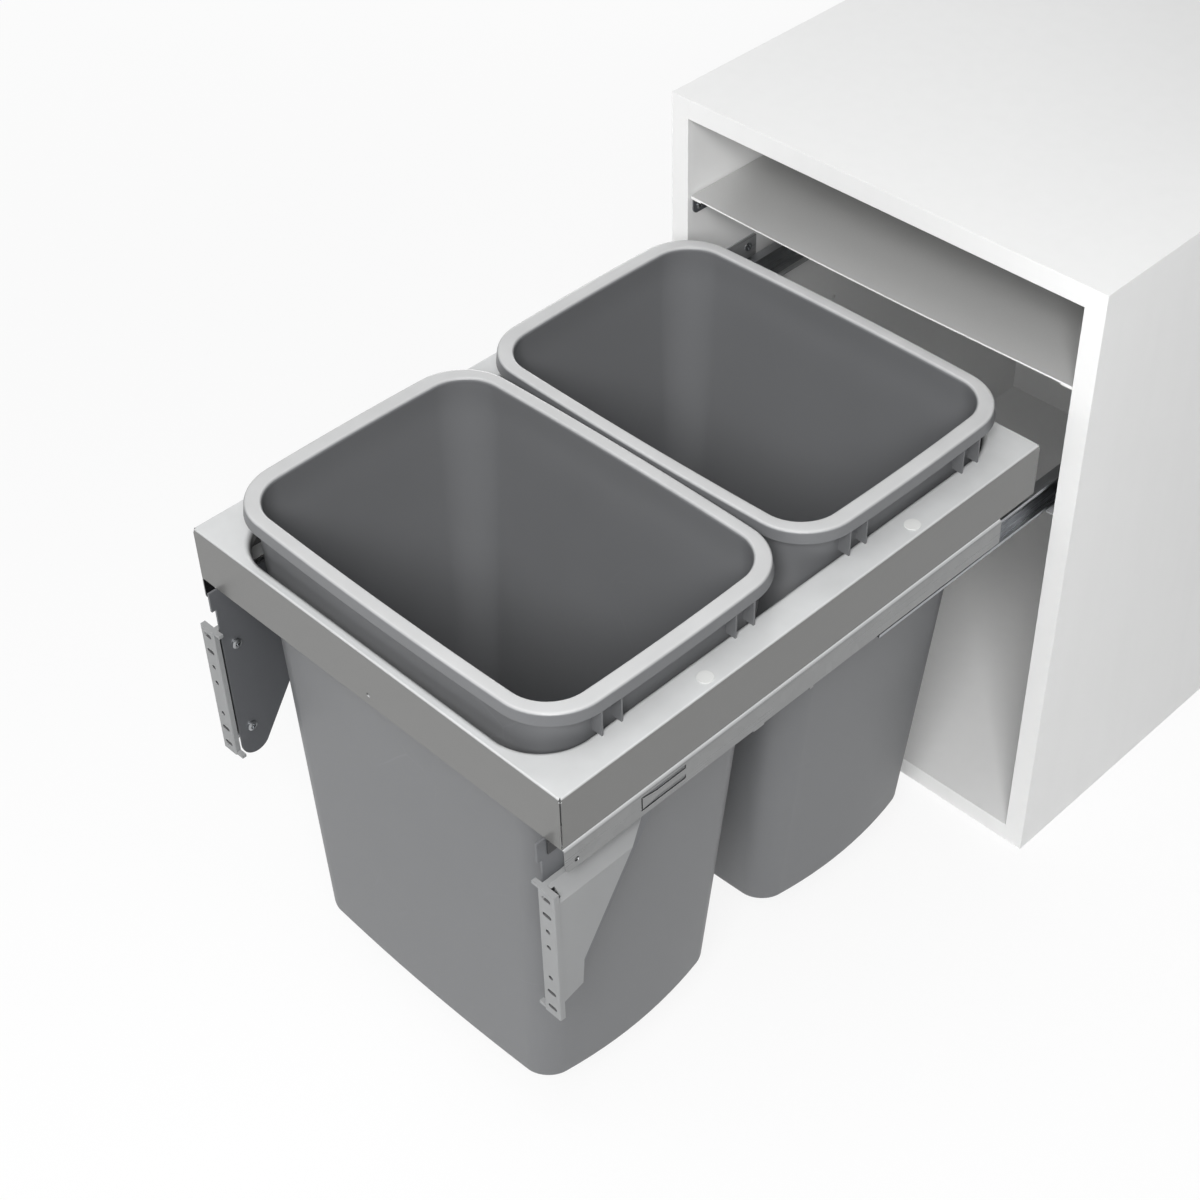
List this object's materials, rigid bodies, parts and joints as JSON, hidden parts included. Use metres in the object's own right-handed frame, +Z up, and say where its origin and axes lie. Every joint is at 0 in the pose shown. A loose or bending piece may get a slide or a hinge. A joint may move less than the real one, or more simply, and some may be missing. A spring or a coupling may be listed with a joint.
{
  "type": "pull out trash cabinet",
  "caption": "Open-fronted kitchen base cabinet with a pull-out steel tray on full-extension runners, lift-out waste bins, a lid shelf above and brackets for a door front.",
  "frame": {"origin": "centre of the carcass's underside", "axes": "front faces -Y, +X is the right side seen from the front, +Z is up"},
  "size_m": [0.45, 1.142, 0.62],
  "materials": {
    "board": "matte white melamine facing",
    "dowel": "bare beech",
    "lid_steel": "satin silver powder coat",
    "dark_steel": "satin dark grey",
    "galvanised": "zinc plated",
    "screw_steel": "bright zinc",
    "tray_paint": "satin silver powder coat",
    "arm_steel": "satin grey",
    "bracket_plastic": "fine satin",
    "cage_plastic": "natural",
    "cap_plastic": "satin",
    "bin_plastic": "fine satin"
  },
  "bodies": {
    "cabinet": {"side_board_left": "board", "side_board_right": "board", "top_board": "board", "bottom_board": "board", "back_panel": "board", "board_dowels": "dowel", "lid_shelf": "lid_steel", "lid_brackets": "dark_steel", "lid_bracket_screws": "screw_steel", "cabinet_rail_left": "dark_steel", "cabinet_rail_right": "dark_steel", "cabinet_rail_screws": "screw_steel"},
    "drawer": {"drawer_rail_left": "galvanised", "drawer_rail_right": "galvanised", "tray": "tray_paint", "deck_caps": "cap_plastic", "tray_screws": "screw_steel", "arm_plate_left": "arm_steel", "arm_plate_right": "arm_steel", "arm_rivets": "screw_steel"},
    "middle_left": {"middle_rail_left": "galvanised"},
    "middle_right": {"middle_rail_right": "galvanised"},
    "cage_upper_left": {"upper_cage_left": "cage_plastic"},
    "cage_upper_right": {"upper_cage_right": "cage_plastic"},
    "cage_lower_left": {"lower_cage_left": "cage_plastic"},
    "cage_lower_right": {"lower_cage_right": "cage_plastic"},
    "bracket_left": {"front_bracket_left": "bracket_plastic", "bracket_screws_left": "screw_steel"},
    "bracket_right": {"front_bracket_right": "bracket_plastic", "bracket_screws_right": "screw_steel"},
    "front_bin_body": {"front_bin": "bin_plastic"},
    "rear_bin_body": {"rear_bin": "bin_plastic"}
  },
  "joints": [
    {"name": "drawer_slide", "type": "slide", "parent": "cabinet", "child": "drawer", "axis": [0, 1, 0], "range_m": [0, 0.56]},
    {"name": "middle_left_slide", "type": "slide", "parent": "cabinet", "child": "middle_left", "axis": [0, 1, 0], "range_m": [0, 0.28]},
    {"name": "middle_right_slide", "type": "slide", "parent": "cabinet", "child": "middle_right", "axis": [0, 1, 0], "range_m": [0, 0.28]},
    {"name": "cage_upper_left_slide", "type": "slide", "parent": "cabinet", "child": "cage_upper_left", "axis": [0, 1, 0], "range_m": [0, 0.42]},
    {"name": "cage_upper_right_slide", "type": "slide", "parent": "cabinet", "child": "cage_upper_right", "axis": [0, 1, 0], "range_m": [0, 0.42]},
    {"name": "cage_lower_left_slide", "type": "slide", "parent": "cabinet", "child": "cage_lower_left", "axis": [0, 1, 0], "range_m": [0, 0.14]},
    {"name": "cage_lower_right_slide", "type": "slide", "parent": "cabinet", "child": "cage_lower_right", "axis": [0, 1, 0], "range_m": [0, 0.14]},
    {"name": "front_bin_lift", "type": "slide", "parent": "drawer", "child": "front_bin_body", "axis": [0, 0, -1], "range_m": [-0.45, 0]},
    {"name": "rear_bin_lift", "type": "slide", "parent": "drawer", "child": "rear_bin_body", "axis": [0, 0, -1], "range_m": [-0.45, 0]},
    {"name": "bracket_left_adjust", "type": "slide", "parent": "drawer", "child": "bracket_left", "axis": [0, 0, 1], "range_m": [-0.002, 0.002]},
    {"name": "bracket_right_adjust", "type": "slide", "parent": "drawer", "child": "bracket_right", "axis": [0, 0, 1], "range_m": [-0.002, 0.002]}
  ],
  "couplings": [
    {"joint": "middle_left_slide", "follows": "drawer_slide", "ratio": 0.5},
    {"joint": "middle_right_slide", "follows": "drawer_slide", "ratio": 0.5},
    {"joint": "cage_upper_left_slide", "follows": "drawer_slide", "ratio": 0.75},
    {"joint": "cage_upper_right_slide", "follows": "drawer_slide", "ratio": 0.75},
    {"joint": "cage_lower_left_slide", "follows": "drawer_slide", "ratio": 0.25},
    {"joint": "cage_lower_right_slide", "follows": "drawer_slide", "ratio": 0.25}
  ]
}
